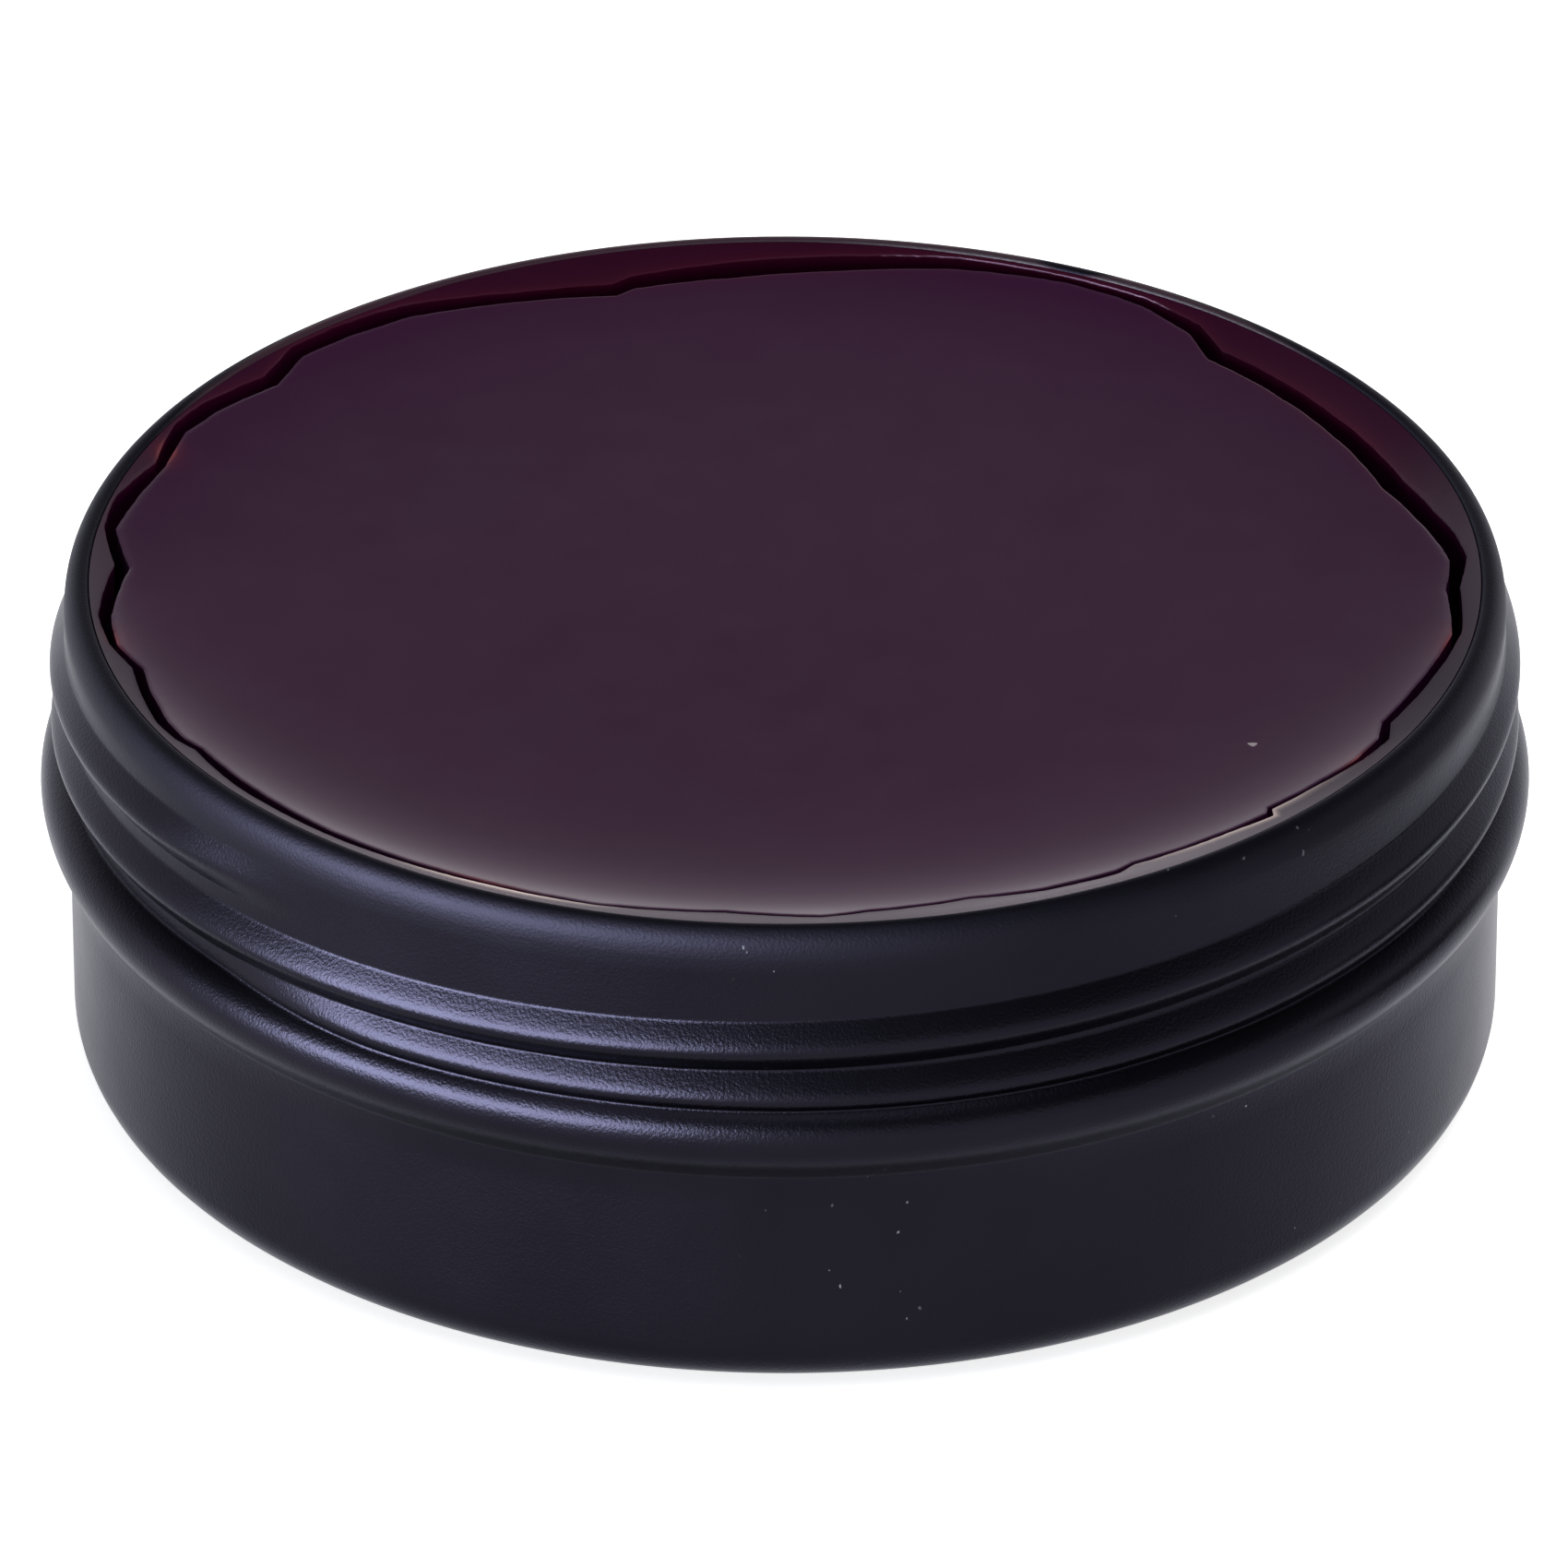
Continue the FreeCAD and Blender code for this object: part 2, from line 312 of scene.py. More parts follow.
def paleFloor():
    material, tree, shader = newMaterial("paleFloor")
    place = tree.nodes.new("ShaderNodeTexCoord").outputs["Object"]
    grain = noiseField(tree, place, 9, 2)
    tree.links.new(ramp(tree, grain, [(0.3, (0.80, 0.80, 0.80)), (0.7, (0.82, 0.82, 0.82))]),
                   shader.inputs["Base Color"])
    shader.inputs["Roughness"].default_value = 0.8
    shader.inputs["Emission Color"].default_value = (1.0, 1.0, 1.0, 1.0)
    shader.inputs["Emission Strength"].default_value = 0.75
    mesh = bpy.data.meshes.new("floor")
    half = 3.0
    corners = [(-half, -half, 0), (half, -half, 0), (half, half, 0), (-half, half, 0)]
    mesh.from_pydata(corners, [], [(0, 1, 2, 3)])
    mesh.materials.append(material)
    floor = bpy.data.objects.new("floor", mesh)
    bpy.context.collection.objects.link(floor)
    floor.location.z = -0.0001


class Section:  # points of a half section in mm, each with a thread base radius or none
    def __init__(self, radius, z):
        self.points = [(radius, z)]
        self.bases = [None]

    def add(self, radius, z, base):
        self.points.append((radius, z))
        self.bases.append(base)

    def line(self, radius, z, count=1, base=None):
        r0, z0 = self.points[-1]
        for i in range(1, count + 1):
            self.add(r0 + (radius - r0) * i / count, z0 + (z - z0) * i / count, base)

    def arc(self, centreR, centreZ, radius, start, end, count):
        for i in range(1, count + 1):
            turn = math.radians(start + (end - start) * i / count)
            self.add(centreR + radius * math.cos(turn), centreZ + radius * math.sin(turn), None)

    def bezier(self, poles, count, base=None):
        p0, p1, p2, p3 = [Vector(p) for p in [self.points[-1]] + list(poles)]
        for i in range(1, count + 1):
            t = i / count
            spot = p0 * (1 - t) ** 3 + p1 * 3 * t * (1 - t) ** 2 + p2 * 3 * t * t * (1 - t) + p3 * t ** 3
            self.add(spot.x, spot.y, base)


def sectionMesh(name, section):
    mesh = bpy.data.meshes.new(name)
    spots = [(radius * mm, 0, z * mm) for radius, z in section.points]
    mesh.from_pydata(spots, [(i, i + 1) for i in range(len(spots) - 1)], [])
    bases = mesh.attributes.new("threadBase", "FLOAT", "POINT")
    shares = mesh.attributes.new("threadShare", "FLOAT", "POINT")
    for i, base in enumerate(section.bases):
        bases.data[i].value = (base or 0.0) * mm
        shares.data[i].value = 0.0 if base is None else 1.0
    return mesh


shellInputs = [  # name and socket type of the tree's inputs
    ("Segments", "NodeSocketInt"), ("Starts", "NodeSocketInt"), ("Direction", "NodeSocketFloat"),
    ("Lead", "NodeSocketFloat"), ("Ridge Height", "NodeSocketFloat"), ("Ridge Width", "NodeSocketFloat"),
    ("Top Height", "NodeSocketFloat"), ("Top Turn", "NodeSocketFloat"), ("Run Turns", "NodeSocketFloat"),
    ("Fade Turns", "NodeSocketFloat"), ("Soften", "NodeSocketFloat"), ("Crest Drop", "NodeSocketFloat"),
    ("Crest Round", "NodeSocketFloat"), ("End Lift", "NodeSocketFloat"), ("Foot Lift", "NodeSocketFloat"),
    ("Lift Turns", "NodeSocketFloat"), ("Material", "NodeSocketMaterial"),
]


def shellTree():
    tree = bpy.data.node_groups.new("turnedShell", "GeometryNodeTree")
    tree.interface.new_socket("Geometry", in_out="INPUT", socket_type="NodeSocketGeometry")
    for name, kind in shellInputs:
        tree.interface.new_socket(name, in_out="INPUT", socket_type=kind)
    tree.interface.new_socket("Geometry", in_out="OUTPUT", socket_type="NodeSocketGeometry")
    given = tree.nodes.new("NodeGroupInput").outputs
    profile = given["Geometry"]

    count = addNode(tree, "GeometryNodeAttributeDomainSize", {"component": "MESH"}, Geometry=profile)
    rows = count.outputs["Point Count"]
    lastRow = sumNode(tree, "SUBTRACT", rows, 1.0)
    columns = sumNode(tree, "ADD", given["Segments"], 1.0)
    grid = tree.nodes.new("GeometryNodeMeshGrid")
    for name, value in (("Size X", given["Segments"]), ("Size Y", lastRow),
                        ("Vertices X", columns), ("Vertices Y", rows)):
        tree.links.new(value, grid.inputs[name])
    position = tree.nodes.new("GeometryNodeInputPosition").outputs[0]
    place = addNode(tree, "ShaderNodeSeparateXYZ", None, i0=position)
    column = sumNode(tree, "MULTIPLY_ADD", given["Segments"], 0.5, place.outputs["X"])
    row = sumNode(tree, "MULTIPLY_ADD", lastRow, 0.5, place.outputs["Y"])
    rowIndex = addNode(tree, "FunctionNodeFloatToInt", {"rounding_mode": "ROUND"}, i0=row).outputs[0]

    def sampled(kind, field):
        node = addNode(tree, "GeometryNodeSampleIndex", {"data_type": kind, "domain": "POINT"},
                       Geometry=profile)
        tree.links.new(field, node.inputs["Value"])
        tree.links.new(rowIndex, node.inputs["Index"])
        return node.outputs["Value"]

    def named(name):
        node = addNode(tree, "GeometryNodeInputNamedAttribute", {"data_type": "FLOAT"}, Name=name)
        return node.outputs["Attribute"]

    spot = addNode(tree, "ShaderNodeSeparateXYZ", None, i0=sampled("FLOAT_VECTOR", position))
    radius, height = spot.outputs["X"], spot.outputs["Z"]
    base = sampled("FLOAT", named("threadBase"))
    share = sampled("FLOAT", named("threadShare"))

    around = sumNode(tree, "DIVIDE", column, given["Segments"])  # turns from the front
    spacing = sumNode(tree, "DIVIDE", 1.0, given["Starts"])
    down = sumNode(tree, "DIVIDE", sumNode(tree, "SUBTRACT", given["Top Height"], height), given["Lead"])
    first = sumNode(tree, "SUBTRACT", given["Top Turn"], around)
    steps = sumNode(tree, "DIVIDE", sumNode(tree, "SUBTRACT", down, first), spacing)
    nearest = sumNode(tree, "ROUND", steps)
    halfWidth = sumNode(tree, "MULTIPLY", given["Ridge Width"], 0.5)
    lowerSide = sumNode(tree, "SUBTRACT", halfWidth, given["Crest Drop"])

    def eased(turns, reach):
        node = addNode(tree, "ShaderNodeMapRange", {"interpolation_type": "SMOOTHSTEP"})
        tree.links.new(turns, node.inputs["Value"])
        tree.links.new(reach, node.inputs["From Max"])
        return node.outputs["Result"]

    def lifted(turns, amount):  # near its ends a ridge runs a little higher
        left = sumNode(tree, "SUBTRACT", 1.0, eased(turns, given["Lift Turns"]))
        return sumNode(tree, "MULTIPLY", left, amount)

    def rounded(distance):  # straight flanks that meet in a round crest
        reach = sumNode(tree, "SQRT", sumNode(tree, "MULTIPLY_ADD", distance, distance,
                                              sumNode(tree, "POWER", given["Crest Round"], 2.0)))
        return sumNode(tree, "SUBTRACT", reach, given["Crest Round"])

    def ridgeHeight(step):  # height of the nearest ridge, or of the one a step above or below it
        index = sumNode(tree, "ADD", nearest, step)
        below = sumNode(tree, "MULTIPLY_ADD", index, spacing, first)  # turns back from the ridge's top end
        lower = sumNode(tree, "SUBTRACT", given["Run Turns"], below)
        away = sumNode(tree, "MULTIPLY", sumNode(tree, "SUBTRACT", below, down), given["Lead"])
        lift = sumNode(tree, "ADD", lifted(below, given["End Lift"]), lifted(lower, given["Foot Lift"]))
        fromCrest = sumNode(tree, "SUBTRACT", sumNode(tree, "ADD", away, given["Crest Drop"]), lift)
        isAbove = sumNode(tree, "GREATER_THAN", fromCrest, 0.0)
        twoDrops = sumNode(tree, "MULTIPLY", given["Crest Drop"], 2.0)
        side = sumNode(tree, "MULTIPLY_ADD", isAbove, twoDrops, lowerSide)
        flank = sumNode(tree, "MULTIPLY", sumNode(tree, "DIVIDE", rounded(fromCrest), rounded(side)),
                        given["Ridge Height"])
        full = sumNode(tree, "SMOOTH_MAX", sumNode(tree, "SUBTRACT", given["Ridge Height"], flank), 0.0,
                       given["Soften"])
        topEnd, footEnd = eased(below, given["Fade Turns"]), eased(lower, given["Fade Turns"])
        ends = sumNode(tree, "MULTIPLY", topEnd, footEnd)
        return sumNode(tree, "MULTIPLY", full, ends)

    ridge = ridgeHeight(0.0)
    for step in (1.0, -1.0):
        ridge = sumNode(tree, "MAXIMUM", ridge, ridgeHeight(step))
    own = sumNode(tree, "MULTIPLY", sumNode(tree, "SUBTRACT", radius, base), given["Direction"])
    joined = sumNode(tree, "SMOOTH_MAX", own, ridge, given["Soften"])
    rise = sumNode(tree, "MULTIPLY_ADD", sumNode(tree, "SUBTRACT", joined, own), share, own)
    finalRadius = sumNode(tree, "MULTIPLY_ADD", rise, given["Direction"], base)

    angle = sumNode(tree, "MULTIPLY", around, math.tau)
    spotX = sumNode(tree, "MULTIPLY", finalRadius, sumNode(tree, "SINE", angle))
    forward = sumNode(tree, "MULTIPLY", sumNode(tree, "COSINE", angle), -1.0)
    spotY = sumNode(tree, "MULTIPLY", finalRadius, forward)
    moved = addNode(tree, "ShaderNodeCombineXYZ", None, X=spotX, Y=spotY, Z=height)
    turned = addNode(tree, "GeometryNodeSetPosition", None, Geometry=grid.outputs["Mesh"],
                     Position=moved.outputs[0])
    closed = addNode(tree, "GeometryNodeMergeByDistance", None, Geometry=turned.outputs[0], Distance=1e-6)
    smooth = addNode(tree, "GeometryNodeSetShadeSmooth", None, Geometry=closed.outputs[0])
    realized = addNode(tree, "GeometryNodeRealizeInstances", None, Geometry=smooth.outputs[0])
    painted = addNode(tree, "GeometryNodeSetMaterial", None, Geometry=realized.outputs[0],
                      Material=given["Material"])
    result = tree.nodes.new("NodeGroupOutput")
    tree.links.new(painted.outputs[0], result.inputs["Geometry"])
    return tree


def turnedShell(name, section, values, material):
    source = bpy.data.objects.new(name, sectionMesh(name + "Section", section))
    bpy.context.collection.objects.link(source)
    tree = bpy.data.node_groups.get("turnedShell") or shellTree()
    modifier = source.modifiers.new("turnedShell", "NODES")
    modifier.node_group = tree
    values = dict(values, Material=material)
    for item in tree.interface.items_tree:
        if item.in_out == "INPUT" and item.name in values:
            modifier[item.identifier] = values[item.name]
    bpy.context.view_layer.update()
    mesh = bpy.data.meshes.new_from_object(source.evaluated_get(bpy.context.evaluated_depsgraph_get()))
    source.modifiers.remove(modifier)
    source.data = mesh
    mesh.name = name
    shape = bmesh.new()
    shape.from_mesh(mesh)
    bmesh.ops.dissolve_degenerate(shape, dist=1e-7, edges=shape.edges)
    bmesh.ops.recalc_face_normals(shape, faces=shape.faces)
    shape.to_mesh(mesh)
    shape.free()
    print(name, "built,", len(mesh.polygons), "faces")
    return source


tin = {  # mm; the same sizes as the design
    "height": tinTop / mm, "wall": 36.1, "sheet": 0.4, "corner": 2.5,
    "hemWidth": 1.25, "hemDepth": 1.3, "hemRound": 0.9, "hemFall": 1.5, "lipRound": 0.3,
    "bead": 1.4, "beadTop": 9.35, "beadCrest": 11.2, "beadFoot": 13.65, "footOut": 0.42, "footUp": 0.3,
    "topOut": 0.65, "topDown": 0.2,  # shares of the bead that set how full its flanks are
    "ringInner": 27.0, "ringOuter": 31.0, "ringRise": 0.5,
}
thread = {  # mm and turns
    "lead": 5.9, "height": 0.8, "width": 2.7, "endDrop": 3.9, "endTurn": -38.0 / 360, "run": 375.3 / 360,
    "fade": 22.0 / 360, "starts": 2, "soften": 0.06, "crestDrop": 0.06, "crestRound": 0.42,
    "lift": 0.6, "footLift": 0.8, "liftTurns": 0.22,
}
film = {"middle": 186.0, "reach": 62.0, "width": 1.2, "bare": 155.0, "bareReach": 6.0}  # degrees and mm


def tinSection():
    t = tin
    top = t["height"]
    wall, sheet, bulge = t["wall"], t["sheet"], t["bead"]
    crestRadius = wall + bulge
    foot, crest, beadTop = top - t["beadFoot"], top - t["beadCrest"], top - t["beadTop"]
    s = Section(0, 0)
    s.line(t["ringInner"], 0, 4)
    s.line(t["ringInner"] + t["ringRise"], t["ringRise"], 3)
    s.line(t["ringOuter"] - t["ringRise"], t["ringRise"], 2)
    s.line(t["ringOuter"], 0, 3)
    s.line(wall - t["corner"], 0, 2)
    s.arc(wall - t["corner"], t["corner"], t["corner"], -90, 0, 12)
    s.line(wall, foot - 0.15, 6)
    rise, fall = crest - foot, beadTop - crest
    s.line(wall + 0.05, foot, 2)
    footPole = (wall + t["footOut"] * bulge, foot + t["footUp"] * rise)
    s.bezier([footPole, (crestRadius, crest - 0.5 * rise), (crestRadius, crest)], 18)
    topPole = (wall + t["topOut"] * bulge, beadTop - t["topDown"] * fall)
    s.bezier([(crestRadius, crest + 0.45 * fall), topPole, (wall, beadTop)], 16, wall)
    s.line(wall, top - t["hemFall"], 100, wall)
    lip = wall - t["hemWidth"]
    hemIn, hemDown = t["hemRound"], t["hemFall"]
    s.bezier([(wall, top - 0.45 * hemDown), (wall - 0.45 * hemIn, top), (wall - hemIn, top)], 14)
    s.arc(lip + t["lipRound"], top - t["lipRound"], t["lipRound"], 90, 180, 8)
    s.line(lip, top - t["hemDepth"], 3)
    s.line(lip + sheet, top - t["hemDepth"], 1)
    s.line(lip + sheet, top - sheet, 1)
    s.line(wall - sheet, top - sheet, 1)
    s.line(wall - sheet, foot, 2)
    s.line(wall - sheet, t["corner"], 1)
    s.arc(wall - t["corner"], t["corner"], t["corner"] - sheet, 0, -90, 4)
    s.line(0, sheet, 2)
    return s


def threadValues(t, direction):
    return {
        "Segments": 480, "Starts": t["starts"], "Direction": direction, "Lead": t["lead"] * mm,
        "Ridge Height": t["height"] * mm, "Ridge Width": t["width"] * mm, "Top Height": t["top"] * mm,
        "Top Turn": t["endTurn"], "Run Turns": t["run"], "Fade Turns": t["fade"],
        "Soften": t["soften"] * mm,
        "Crest Drop": t["crestDrop"] * mm, "Crest Round": t["crestRound"] * mm,
        "End Lift": t["lift"] * mm, "Foot Lift": t["footLift"] * mm, "Lift Turns": t["liftTurns"],
    }


def bump(value, middle, reach):  # a smooth rise from 0 to 1 and back, for angles in degrees
    away = abs((value - middle + 180) % 360 - 180)
    return 0.0 if away >= reach else 0.5 + 0.5 * math.cos(math.pi * away / reach)


def paintMesh(mesh, name, rule):  # rule gives a value from radius, height and angle, in mm and degrees
    layer = mesh.attributes.new(name, "FLOAT", "POINT")
    for vertex, item in zip(mesh.vertices, layer.data):
        spot = vertex.co / mm
        angle = math.degrees(math.atan2(spot.x, -spot.y)) % 360
        item.value = rule(math.hypot(spot.x, spot.y), spot.z, angle)


def filmRule(radius, height, angle):  # wax drawn up over the hem at the back
    f = film
    if height < tin["height"] - tin["hemDepth"] or radius < tin["wall"] - tin["hemWidth"] - 0.01:
        return 0.0
    bare = bump(angle, f["bare"], f["bareReach"])
    reach = f["width"] * bump(angle, f["middle"], f["reach"]) ** 0.5 * (1 - bare)
    ragged = 0.12 * noise.noise(Vector((angle * 0.25, 0.0, 3.0)))
    into = tin["wall"] - tin["hemWidth"] + reach + ragged - radius
    return 0.0 if reach < 0.05 else max(0.0, min(1.0, into / 0.3))


def rimRule(radius, height, angle):  # handling has dulled the hem
    return max(0.0, min(1.0, (height - tin["height"] + 2.4) / 1.2))


def buildTin(material):
    values = threadValues(dict(thread, top=tin["height"] - thread["endDrop"]), 1.0)
    shell = turnedShell("tinShell", tinSection(), values, material)
    paintMesh(shell.data, "film", filmRule)
    paintMesh(shell.data, "matte", rimRule)
    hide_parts("can_body")
    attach(shell, "tin")
    return shell


crack = [  # angle from the front, crust width left inside the hem, and width of the crack, in mm
    (3, 1.3, 0.15), (7, 1.75, 0.14), (16, 2.1, 0.12), (22, 1.5, 0.22), (29, 1.4, 0.3), (31, 1.9, 0.18),
    (40, 1.6, 0.18), (45, 1.2, 0.37), (46, 1.8, 0.23), (52, 1.55, 0.18), (57, 1.05, 0.28), (61, 0.9, 0.46),
    (64, 1.65, 0.37), (72, 1.2, 0.42), (80, 0.65, 0.37), (88, 1.05, 0.55), (93, 0.55, 0.65),
    (97, 0.8, 0.80),
    (102, 1.35, 0.80), (108, 1.85, 0.92), (121, 1.95, 0.8), (137, 1.85, 0.78), (141, 0.80, 0.65),
    (147, 0.3, 0.4), (155, 0.2, 0.3), (165, 0.2, 0.6), (175, 0.7, 0.9), (185, 1.2, 1.0), (194, 1.7, 0.8),
    (196, 2.15, 0.83), (205, 1.45, 0.6), (215, 0.3, 0.69), (222, 0.15, 0.65), (227, 0.15, 0.6),
    (232, 0.9, 0.69), (239, 0.25, 0.65), (244, 0.15, 0.55), (250, 0.8, 0.42), (257, 0.15, 0.7),
    (262, 0.2, 0.46), (268, 1.17, 0.6), (277, 0.34, 0.5), (282, 0.5, 0.32), (286, 1.2, 0.42),
    (296, 0.45, 0.5), (299, 0.55, 0.46), (301, 1.05, 0.32), (308, 0.7, 0.55), (319, 0.75, 0.42),
    (335, 1.2, 0.24), (344, 1.2, 0.15), (355, 1.85, 0.14),
]
polish = {  # mm and degrees
    "lip": 34.82, "edgeDrop": 0.15, "rimDip": 0.58, "rimReach": 1.6, "bodyDip": 0.56, "bodyReach": 7.0,
    "columns": 1440, "floor": 0.6, "jag": 0.05, "gapShare": 1.3,
}
glowSpots = [  # where a red glow of light through a narrow edge is painted on: angle, reach in degrees, and strength
    (57, 4, 0.9), (79, 5, 0.9), (120, 30, 0.45), (186, 30, 0.30), (248, 4, 1.0), (281, 4, 0.9),
    (334, 9, 0.8),
]
paintedGlintSpots = [(336, 13, 1.0), (42, 16, 0.6)]  # a painted glint, a bright sliver of light on the broken edge, on each side of the front
dustySpots = [(290, 50, 0.75), (70, 45, 0.9)]  # the crust is rubbed dull on both sides
# angle, reach and strength of the places where a red glow of light through a narrow edge is painted on


def crackAt(angle):  # crust width and crack width at an angle
    stops = [(crack[-1][0] - 360, *crack[-1][1:])] + crack + [(crack[0][0] + 360, *crack[0][1:])]
    for (a0, w0, g0), (a1, w1, g1) in zip(stops, stops[1:]):
        if a0 <= angle <= a1:
            t = (angle - a0) / (a1 - a0)
            return w0 + (w1 - w0) * t, g0 + (g1 - g0) * t
    return crack[0][1:]


def jag(angle, seed):  # small breaks along an edge of the crack
    coarse = noise.noise(Vector((angle * 0.35, seed, 0.0)))
    fine = noise.noise(Vector((angle * 1.4, seed, 7.0)))
    return polish["jag"] * (coarse + 0.5 * fine)


def ringMesh(name, rows, material, closeTop, marks):  # rows of (radius, height) by column, top to bottom
    columns = len(rows[0])
    spots, faces = [], []
    for row in rows:
        for column, (radius, height) in enumerate(row):
            turn = math.tau * column / columns
            spots.append((radius * math.sin(turn) * mm, -radius * math.cos(turn) * mm, height * mm))
    for r in range(len(rows) - (1 if closeTop else 0)):
        below = (r + 1) % len(rows)
        for c in range(columns):
            after = (c + 1) % columns
            here, under = r * columns, below * columns
            faces.append((here + c, here + after, under + after, under + c))
    if closeTop:
        for r in (0, len(rows) - 1):
            spots.append((0, 0, rows[r][0][1] * mm))
            for c in range(columns):
                after = (c + 1) % columns
                faces.append((r * columns + c, r * columns + after, len(spots) - 1))
    mesh = bpy.data.meshes.new(name)
    mesh.from_pydata(spots, [], faces)
    shape = bmesh.new()
    shape.from_mesh(mesh)
    bmesh.ops.recalc_face_normals(shape, faces=shape.faces)
    shape.to_mesh(mesh)
    shape.free()
    mesh.polygons.foreach_set("use_smooth", [True] * len(mesh.polygons))
    mesh.set_sharp_from_angle(angle=math.radians(38))
    mesh.materials.append(material)
    for mark, rowValues in marks.items():
        layer = mesh.attributes.new(mark, "FLOAT", "POINT")
        for r, values in enumerate(rowValues):
            for c, value in enumerate(values):
                layer.data[r * columns + c].value = value
    piece = bpy.data.objects.new(name, mesh)
    bpy.context.collection.objects.link(piece)
    print(name, "built,", len(faces), "faces")
    return piece


def columnAngles():
    return [360 * column / polish["columns"] for column in range(polish["columns"])]


def spotsAt(spots, angle):
    return sum(strength * bump(angle, middle, reach) for middle, reach, strength in spots)


def waxHeight(radius):  # the surface dips from the lip towards the middle
    p = polish
    inward = max(0.0, p["lip"] - radius)
    rimPart = p["rimDip"] * (1 - math.exp(-inward / p["rimReach"]))
    bodyPart = p["bodyDip"] * (1 - math.exp(-inward / p["bodyReach"]))
    return tin["height"] - p["edgeDrop"] - rimPart - bodyPart


cakeRings = (  # mm in from the broken edge
    26.0, 20.0, 15.0, 11.0, 8.0, 6.0, 4.5, 3.5, 2.7, 2.0, 1.5, 1.1, 0.8, 0.55, 0.35, 0.2, 0.1, 0.05, 0.0,
)
cakeDepths = (0.12, 0.3, 0.7, 1.4, 2.6)  # mm down the broken edge


def buildCake(material):
    p = polish
    angles = columnAngles()
    edges = []
    for angle in angles:
        crust, gap = crackAt(angle)
        edges.append(p["lip"] - crust - gap * p["gapShare"] + jag(angle, 2.0))
    mean = sum(edges) / len(edges)
    rows, paintedGlow, brink = [], [], []
    for inward in cakeRings:
        settle = min(1.0, inward / 6.0) ** 0.7  # rings even out away from the broken edge
        radii = [edge + (mean - edge) * settle - inward for edge in edges]
        chip = 0.03 * max(0.0, 1 - inward / 0.14) ** 2  # the brink is worn a little round
        rows.append([(radius, waxHeight(radius) - chip) for radius in radii])
        # painted glow: red light through the broken edge, painted on at its brink
        paintedGlow.append([min(1.0, spotsAt(glowSpots, angle)) * math.exp(-inward / 0.35) for angle in angles])
        brink.append([math.exp(-inward / 0.15)] * len(angles))
    for depth in cakeDepths:
        row = []
        for angle, edge in zip(angles, edges):
            rough = 0.10 * noise.noise(Vector((angle * 0.3, depth * 2, 4.0))) * min(1.0, depth)
            row.append((edge - rough, waxHeight(edge) - 0.03 - depth))
        rows.append(row)
        # painted glow: red light through the broken edge, painted down its face
        paintedGlow.append([min(1.0, spotsAt(glowSpots, angle)) * math.exp(-depth / 0.2) for angle in angles])
        brink.append([1.0] * len(angles))
    rows.append([(min(edge, tin["wall"] - tin["corner"]), p["floor"]) for edge in edges])
    paintedGlow.append([0.0] * len(angles))
    brink.append([1.0] * len(angles))
    piece = ringMesh("polishCake", rows, material, True, {"paintedGlow": paintedGlow, "brink": brink})
    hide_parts("polish_cake")
    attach(piece, "tin")
    return piece


def crustClimb(angle, width):  # how much further the wax climbs the hem's lip at the back, in mm
    return 0.10 * bump(angle, film["middle"], 75) * min(1.0, width / 0.9)


def dustiness(angle):  # on both sides, and a little at the front
    sides = sum(strength * bump(angle, middle, reach) ** 0.5 for middle, reach, strength in dustySpots)
    return sides + 0.45 * bump(angle, 0, 45) * (1 - sides)


crustShares = (1.0, 0.92, 0.8, 0.65, 0.5, 0.35, 0.2, 0.1, 0.04, 0.0)
crustDepths = (0.12, 0.3, 0.7, 1.5, 2.7)


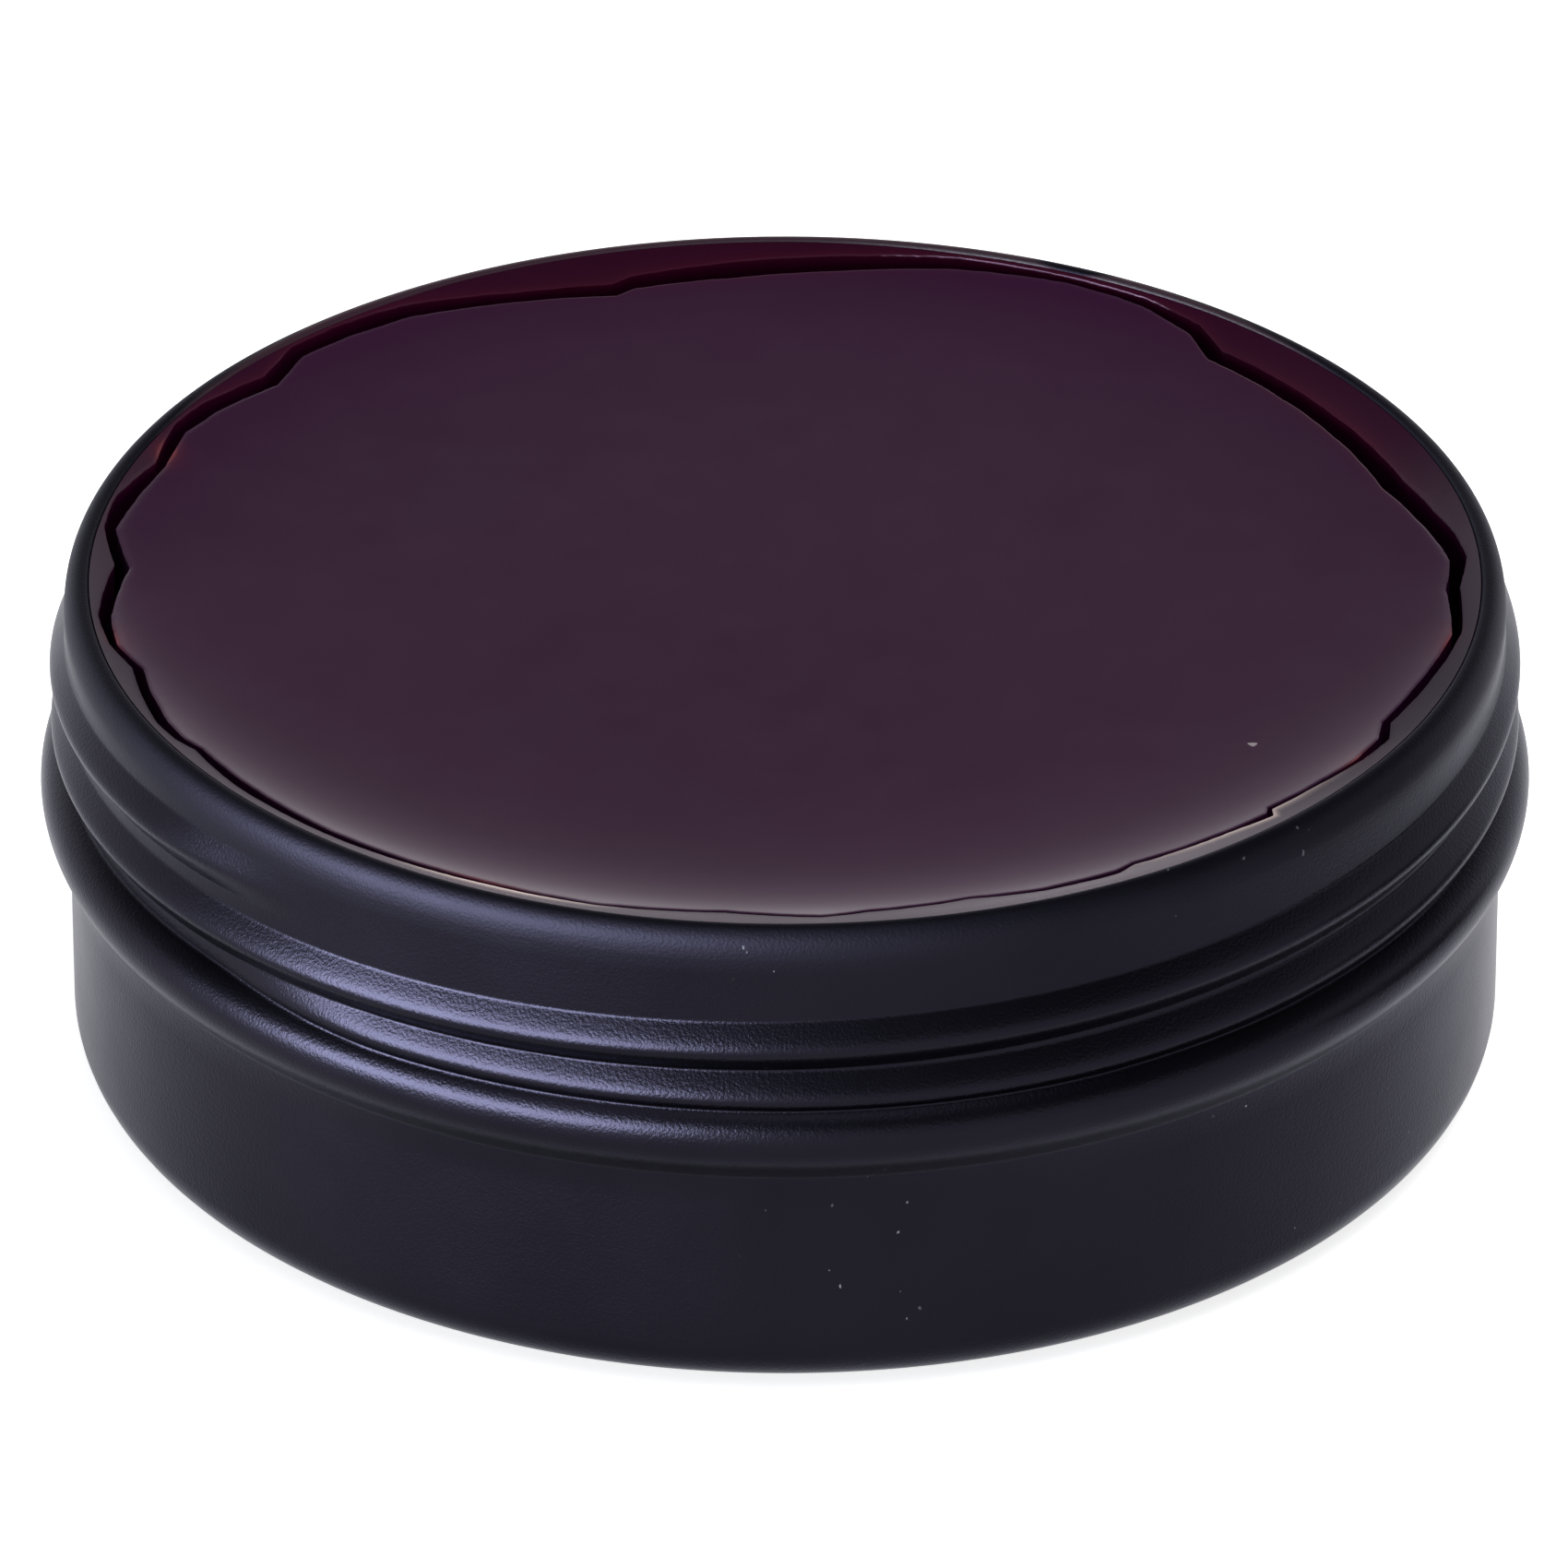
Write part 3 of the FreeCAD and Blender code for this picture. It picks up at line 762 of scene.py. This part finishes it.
def buildCrust(material):
    p = polish
    angles = columnAngles()
    widths = [crackAt(angle)[0] + jag(angle, 9.0) for angle in angles]
    under = tin["height"] - tin["hemDepth"] - 0.04
    wall = tin["wall"] - tin["sheet"] - 0.04
    rows = [[(wall, under) for angle in angles], [(p["lip"], under) for angle in angles]]
    for share in crustShares:  # across the top, from the lip to the crack
        row = []
        for angle, width in zip(angles, widths):
            radius = p["lip"] - width * (1 - share)
            chip = 0.02 if share == 0.0 else 0.0
            row.append((radius, waxHeight(radius) - chip + crustClimb(angle, width) * share ** 2))
        rows.append(row)
    topRows = range(2, len(rows))
    for depth in crustDepths:
        row = []
        for angle, width in zip(angles, widths):
            rough = 0.08 * noise.noise(Vector((angle * 0.3, depth * 2, 1.0))) * min(1.0, depth)
            row.append((p["lip"] - width + rough, waxHeight(p["lip"] - width) - 0.02 - depth))
        rows.append(row)
    floorRadius = tin["wall"] - tin["corner"]
    rows.append([(min(p["lip"] - width, floorRadius - 0.1), p["floor"]) for width in widths])
    rows.append([(floorRadius, p["floor"]) for angle in angles])
    rows.append([(wall, tin["corner"]) for angle in angles])
    paintedGlow, bloom, paintedBackShade, brink, paintedGlint = [], [], [], [], []
    for r, row in enumerate(rows):
        paintedGlowRow, brinkRow, paintedGlintRow = [], [], []
        for (radius, height), angle, width in zip(row, angles, widths):
            edgeHeight = waxHeight(p["lip"] - width)
            away = math.hypot(radius - (p["lip"] - width), max(0.0, edgeHeight - height) * 1.5)
            # painted glow: red light through the edge near the crack, painted on at the back and at the
            # glow spots
            paintedBackGlow = 0.4 * bump(angle, 190, 110) ** 0.5 * math.exp(-away / 0.3)
            paintedGlowRow.append(max(paintedBackGlow, min(1.0, spotsAt(glowSpots, angle)) * math.exp(-away / 0.45)))
            brinkRow.append(math.exp(-away / 0.08))
            # painted glint: a bright sliver of light on the broken edge near the front
            paintedGlintRow.append(spotsAt(paintedGlintSpots, angle) * math.exp(-(away / 0.28) ** 2))
        paintedGlow.append(paintedGlowRow)
        brink.append(brinkRow)
        paintedGlint.append(paintedGlintRow)
        bloom.append([dustiness(angle) if r in topRows else 0.0 for angle in angles])
        # painted shade: the crust darker and redder towards the back
        paintedBackShade.append([bump(angle, 180, 120) ** 0.5 for angle in angles])
    marks = {"paintedGlow": paintedGlow, "bloom": bloom, "paintedBackShade": paintedBackShade, "brink": brink, "paintedGlint": paintedGlint}
    piece = ringMesh("polishCrust", rows, material, False, marks)
    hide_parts("polish_crust")
    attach(piece, "tin")
    return piece


lid = {  # mm; upside down on the table, so heights run from the lid's raised panel up to the skirt's foot
    "outer": 37.55, "inner": 37.15, "corner": 1.2, "panel": 30.0, "rise": 0.4, "sheet": 0.4,
    "foot": (lidHigh[2] - lidLow[2]) / mm, "linerRadius": 36.3, "linerThick": 1.0,
}
lidThread = {  # mm and turns
    "lead": 5.9, "height": 0.75, "width": 1.6, "starts": 2, "top": 9.8, "endTurn": 198.0 / 360,
    "run": 260.0 / 360, "fade": 30.0 / 360, "soften": 0.06, "crestDrop": 0.0, "crestRound": 0.25,
    "lift": 0.0, "footLift": 0.0, "liftTurns": 0.1,
}


def lidSection():
    t = lid
    ledge = t["rise"]
    floorIn = ledge + t["sheet"]
    sheet, inner, outer = t["sheet"], t["inner"], t["outer"]
    s = Section(0, 0)
    s.line(t["panel"], 0, 3)
    s.line(t["panel"] + t["rise"], ledge, 3)
    s.line(outer - t["corner"], ledge, 3)
    s.arc(outer - t["corner"], ledge + t["corner"], t["corner"], -90, 0, 10)
    s.line(outer, t["foot"] - sheet / 2, 100, outer)
    s.arc(outer - sheet / 2, t["foot"] - sheet / 2, sheet / 2, 0, 180, 8)
    s.line(inner, ledge + t["corner"], 100, inner)
    s.arc(outer - t["corner"], ledge + t["corner"], t["corner"] - sheet, 0, -90, 6)
    s.line(t["panel"] + t["rise"], floorIn, 2)
    s.line(t["panel"], floorIn - t["rise"], 2)
    s.line(0, floorIn - t["rise"], 2)
    return s


def stand(piece):  # to the lid's place on the table
    piece.data.transform(Matrix.Translation((lidCentreX, 0, lidLow[2])))
    return piece


def buildLid(material):
    shell = turnedShell("lidShell", lidSection(), threadValues(lidThread, -1.0), material)
    stand(shell)
    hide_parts("lid_shell")
    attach(shell, "lid")
    return shell


def stainRule(radius, height, angle):
    return bump(radius, 35.2, 1.2) * 0.7


def buildLiner(material):
    t = lid
    base = t["rise"] + t["sheet"] + 0.02
    top = base + t["linerThick"] - 0.02
    s = Section(0, base)
    s.line(t["linerRadius"] - 0.1, base, 3)
    s.arc(t["linerRadius"] - 0.15, base + 0.15, 0.15, -90, 0, 3)
    s.line(t["linerRadius"], top - 0.15, 2)
    s.arc(t["linerRadius"] - 0.15, top - 0.15, 0.15, 0, 90, 4)
    rim = tin["wall"] - tin["hemWidth"] / 2  # the rim of the tin leaves a groove
    for step in range(25):
        radius = rim + 0.9 - 1.8 * step / 24
        if radius < t["linerRadius"] - 0.15:
            s.add(radius, top - 0.16 * bump(radius, rim, 0.8), None)
    s.line(0, top, 12)
    shell = turnedShell("lidLiner", s, threadValues(lidThread, 1.0), material)
    paintMesh(shell.data, "stain", stainRule)
    stand(shell)
    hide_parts("lid_liner")
    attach(shell, "lid")
    return shell


placeCamera()
addLights()
paleFloor()
black = coatedMetal("satinBlackCoating")
wax = waxPolish("burgundyPolish")
buildTin(black)
buildCake(wax)
buildCrust(wax)
buildLid(black)
buildLiner(linerFoam("whiteFoam"))
bpy.context.scene.view_settings.view_transform = "Standard"
